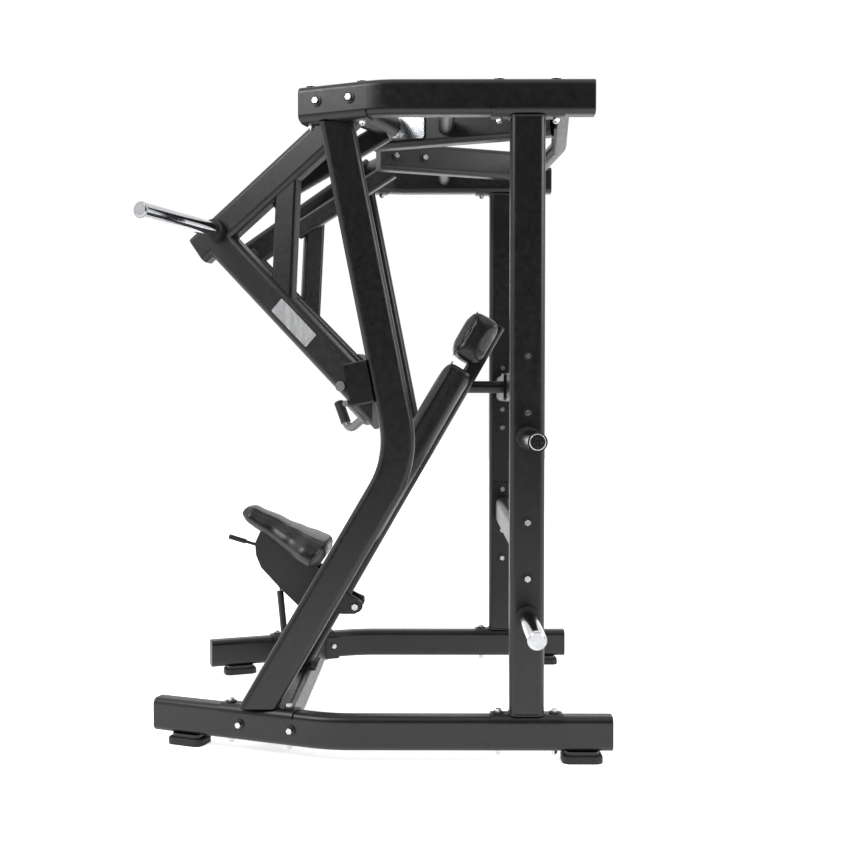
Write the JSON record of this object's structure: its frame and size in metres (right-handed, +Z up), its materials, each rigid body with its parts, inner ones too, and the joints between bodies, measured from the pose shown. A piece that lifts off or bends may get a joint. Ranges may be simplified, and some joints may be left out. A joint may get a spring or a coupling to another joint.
{
  "type": "shoulder press machine",
  "caption": "Plate-loaded shoulder press machine: oval-tube frame, reclined back rest, tilting saddle seat, converging press arms with plate horns.",
  "frame": {"origin": "on the floor, in the middle of the machine's box", "axes": "+Z up, -Y the front that the user faces, +X the user's left"},
  "size_m": [1.786, 1.3293, 1.9015],
  "materials": {
    "frame_coat": "satin black powder coat",
    "handle_coat": "satin grey powder coat",
    "leatherette": "semi-gloss upholstery",
    "plywood": "matt",
    "rubber": "matt",
    "cap_plastic": "matt",
    "chrome": "polished",
    "zinc": "bright zinc plate",
    "machined_steel": "turned",
    "brushed_plate": "brushed"
  },
  "bodies": {
    "frame": {"back_pad": "leatherette", "base_rail_left": "frame_coat", "base_rail_right": "frame_coat", "foot_mounts": "frame_coat", "foot_pads": "rubber", "frame_bolts": "zinc", "frame_nuts": "zinc", "frame_washers": "cap_plastic", "front_base_crossmember": "frame_coat", "front_upright_left": "frame_coat", "front_upright_right": "frame_coat", "head_pad": "leatherette", "pad_boards": "plywood", "pivot_beam_left": "frame_coat", "pivot_beam_right": "frame_coat", "pivot_housings": "machined_steel", "pivot_shafts": "chrome", "rear_brace": "frame_coat", "rear_crossmember_lower": "frame_coat", "rear_crossmember_upper": "frame_coat", "rear_top_crossmember": "frame_coat", "rear_upright_left": "frame_coat", "rear_upright_right": "frame_coat", "seat_brackets": "frame_coat", "seat_hinge_bolt": "zinc", "spine": "frame_coat", "stop_brackets": "frame_coat", "stop_bumpers": "rubber", "storage_horn_collars": "rubber", "storage_horns": "chrome", "top_beam_left": "frame_coat", "top_beam_right": "frame_coat", "top_cross_stubs": "frame_coat", "tube_end_caps": "cap_plastic"},
    "left_arm": {"arm_badge_left": "brushed_plate", "arm_braces_left": "frame_coat", "arm_end_cap_left": "cap_plastic", "arm_grips_left": "rubber", "arm_handles_left": "handle_coat", "arm_horn_collar_left": "rubber", "arm_horn_left": "chrome", "arm_hub_left": "frame_coat", "arm_lower_tube_left": "frame_coat", "arm_upper_tube_left": "frame_coat"},
    "right_arm": {"arm_badge_right": "brushed_plate", "arm_braces_right": "frame_coat", "arm_end_cap_right": "cap_plastic", "arm_grips_right": "rubber", "arm_handles_right": "handle_coat", "arm_horn_collar_right": "rubber", "arm_horn_right": "chrome", "arm_hub_right": "frame_coat", "arm_lower_tube_right": "frame_coat", "arm_upper_tube_right": "frame_coat"},
    "seat": {"seat_pad": "leatherette", "seat_carrier": "frame_coat"},
    "gas_cylinder": {"gas_spring_cylinder": "frame_coat"},
    "gas_rod": {"gas_spring_rod": "chrome"},
    "release_lever": {"seat_lever": "frame_coat", "seat_lever_grip": "rubber"}
  },
  "joints": [
    {"name": "left arm press", "type": "hinge", "parent": "frame", "child": "left_arm", "pos_m": [0.42, -0.06327, 1.847], "axis": [-0.8829, 0.4695, 0], "range_deg": [0, 40]},
    {"name": "right arm press", "type": "hinge", "parent": "frame", "child": "right_arm", "pos_m": [-0.42, -0.06327, 1.847], "axis": [-0.8829, -0.4695, 0], "range_deg": [0, 40]},
    {"name": "seat tilt", "type": "hinge", "parent": "frame", "child": "seat", "pos_m": [0, -0.0928, 0.335], "axis": [1, 0, 0], "range_deg": [-6, 9]},
    {"name": "gas spring swing", "type": "hinge", "parent": "frame", "child": "gas_cylinder", "pos_m": [0, -0.3268, 0.179], "axis": [1, 0, 0], "range_deg": [-3.23, 4.69]},
    {"name": "gas spring stroke", "type": "slide", "parent": "gas_cylinder", "child": "gas_rod", "axis": [0, -0.0964, 0.9953], "range_m": [-0.0399, 0.027]},
    {"name": "release lever", "type": "hinge", "parent": "seat", "child": "release_lever", "pos_m": [0, -0.3858, 0.518], "axis": [-1, 0, 0], "range_deg": [0, 12], "stiffness_Nm_per_rad": 2, "springref_deg": -8.59}
  ],
  "couplings": [
    {"joint": "gas spring swing", "follows": "seat tilt", "ratio": 0.48804},
    {"joint": "gas spring stroke", "follows": "seat tilt", "m_per_rad": -0.24795}
  ]
}
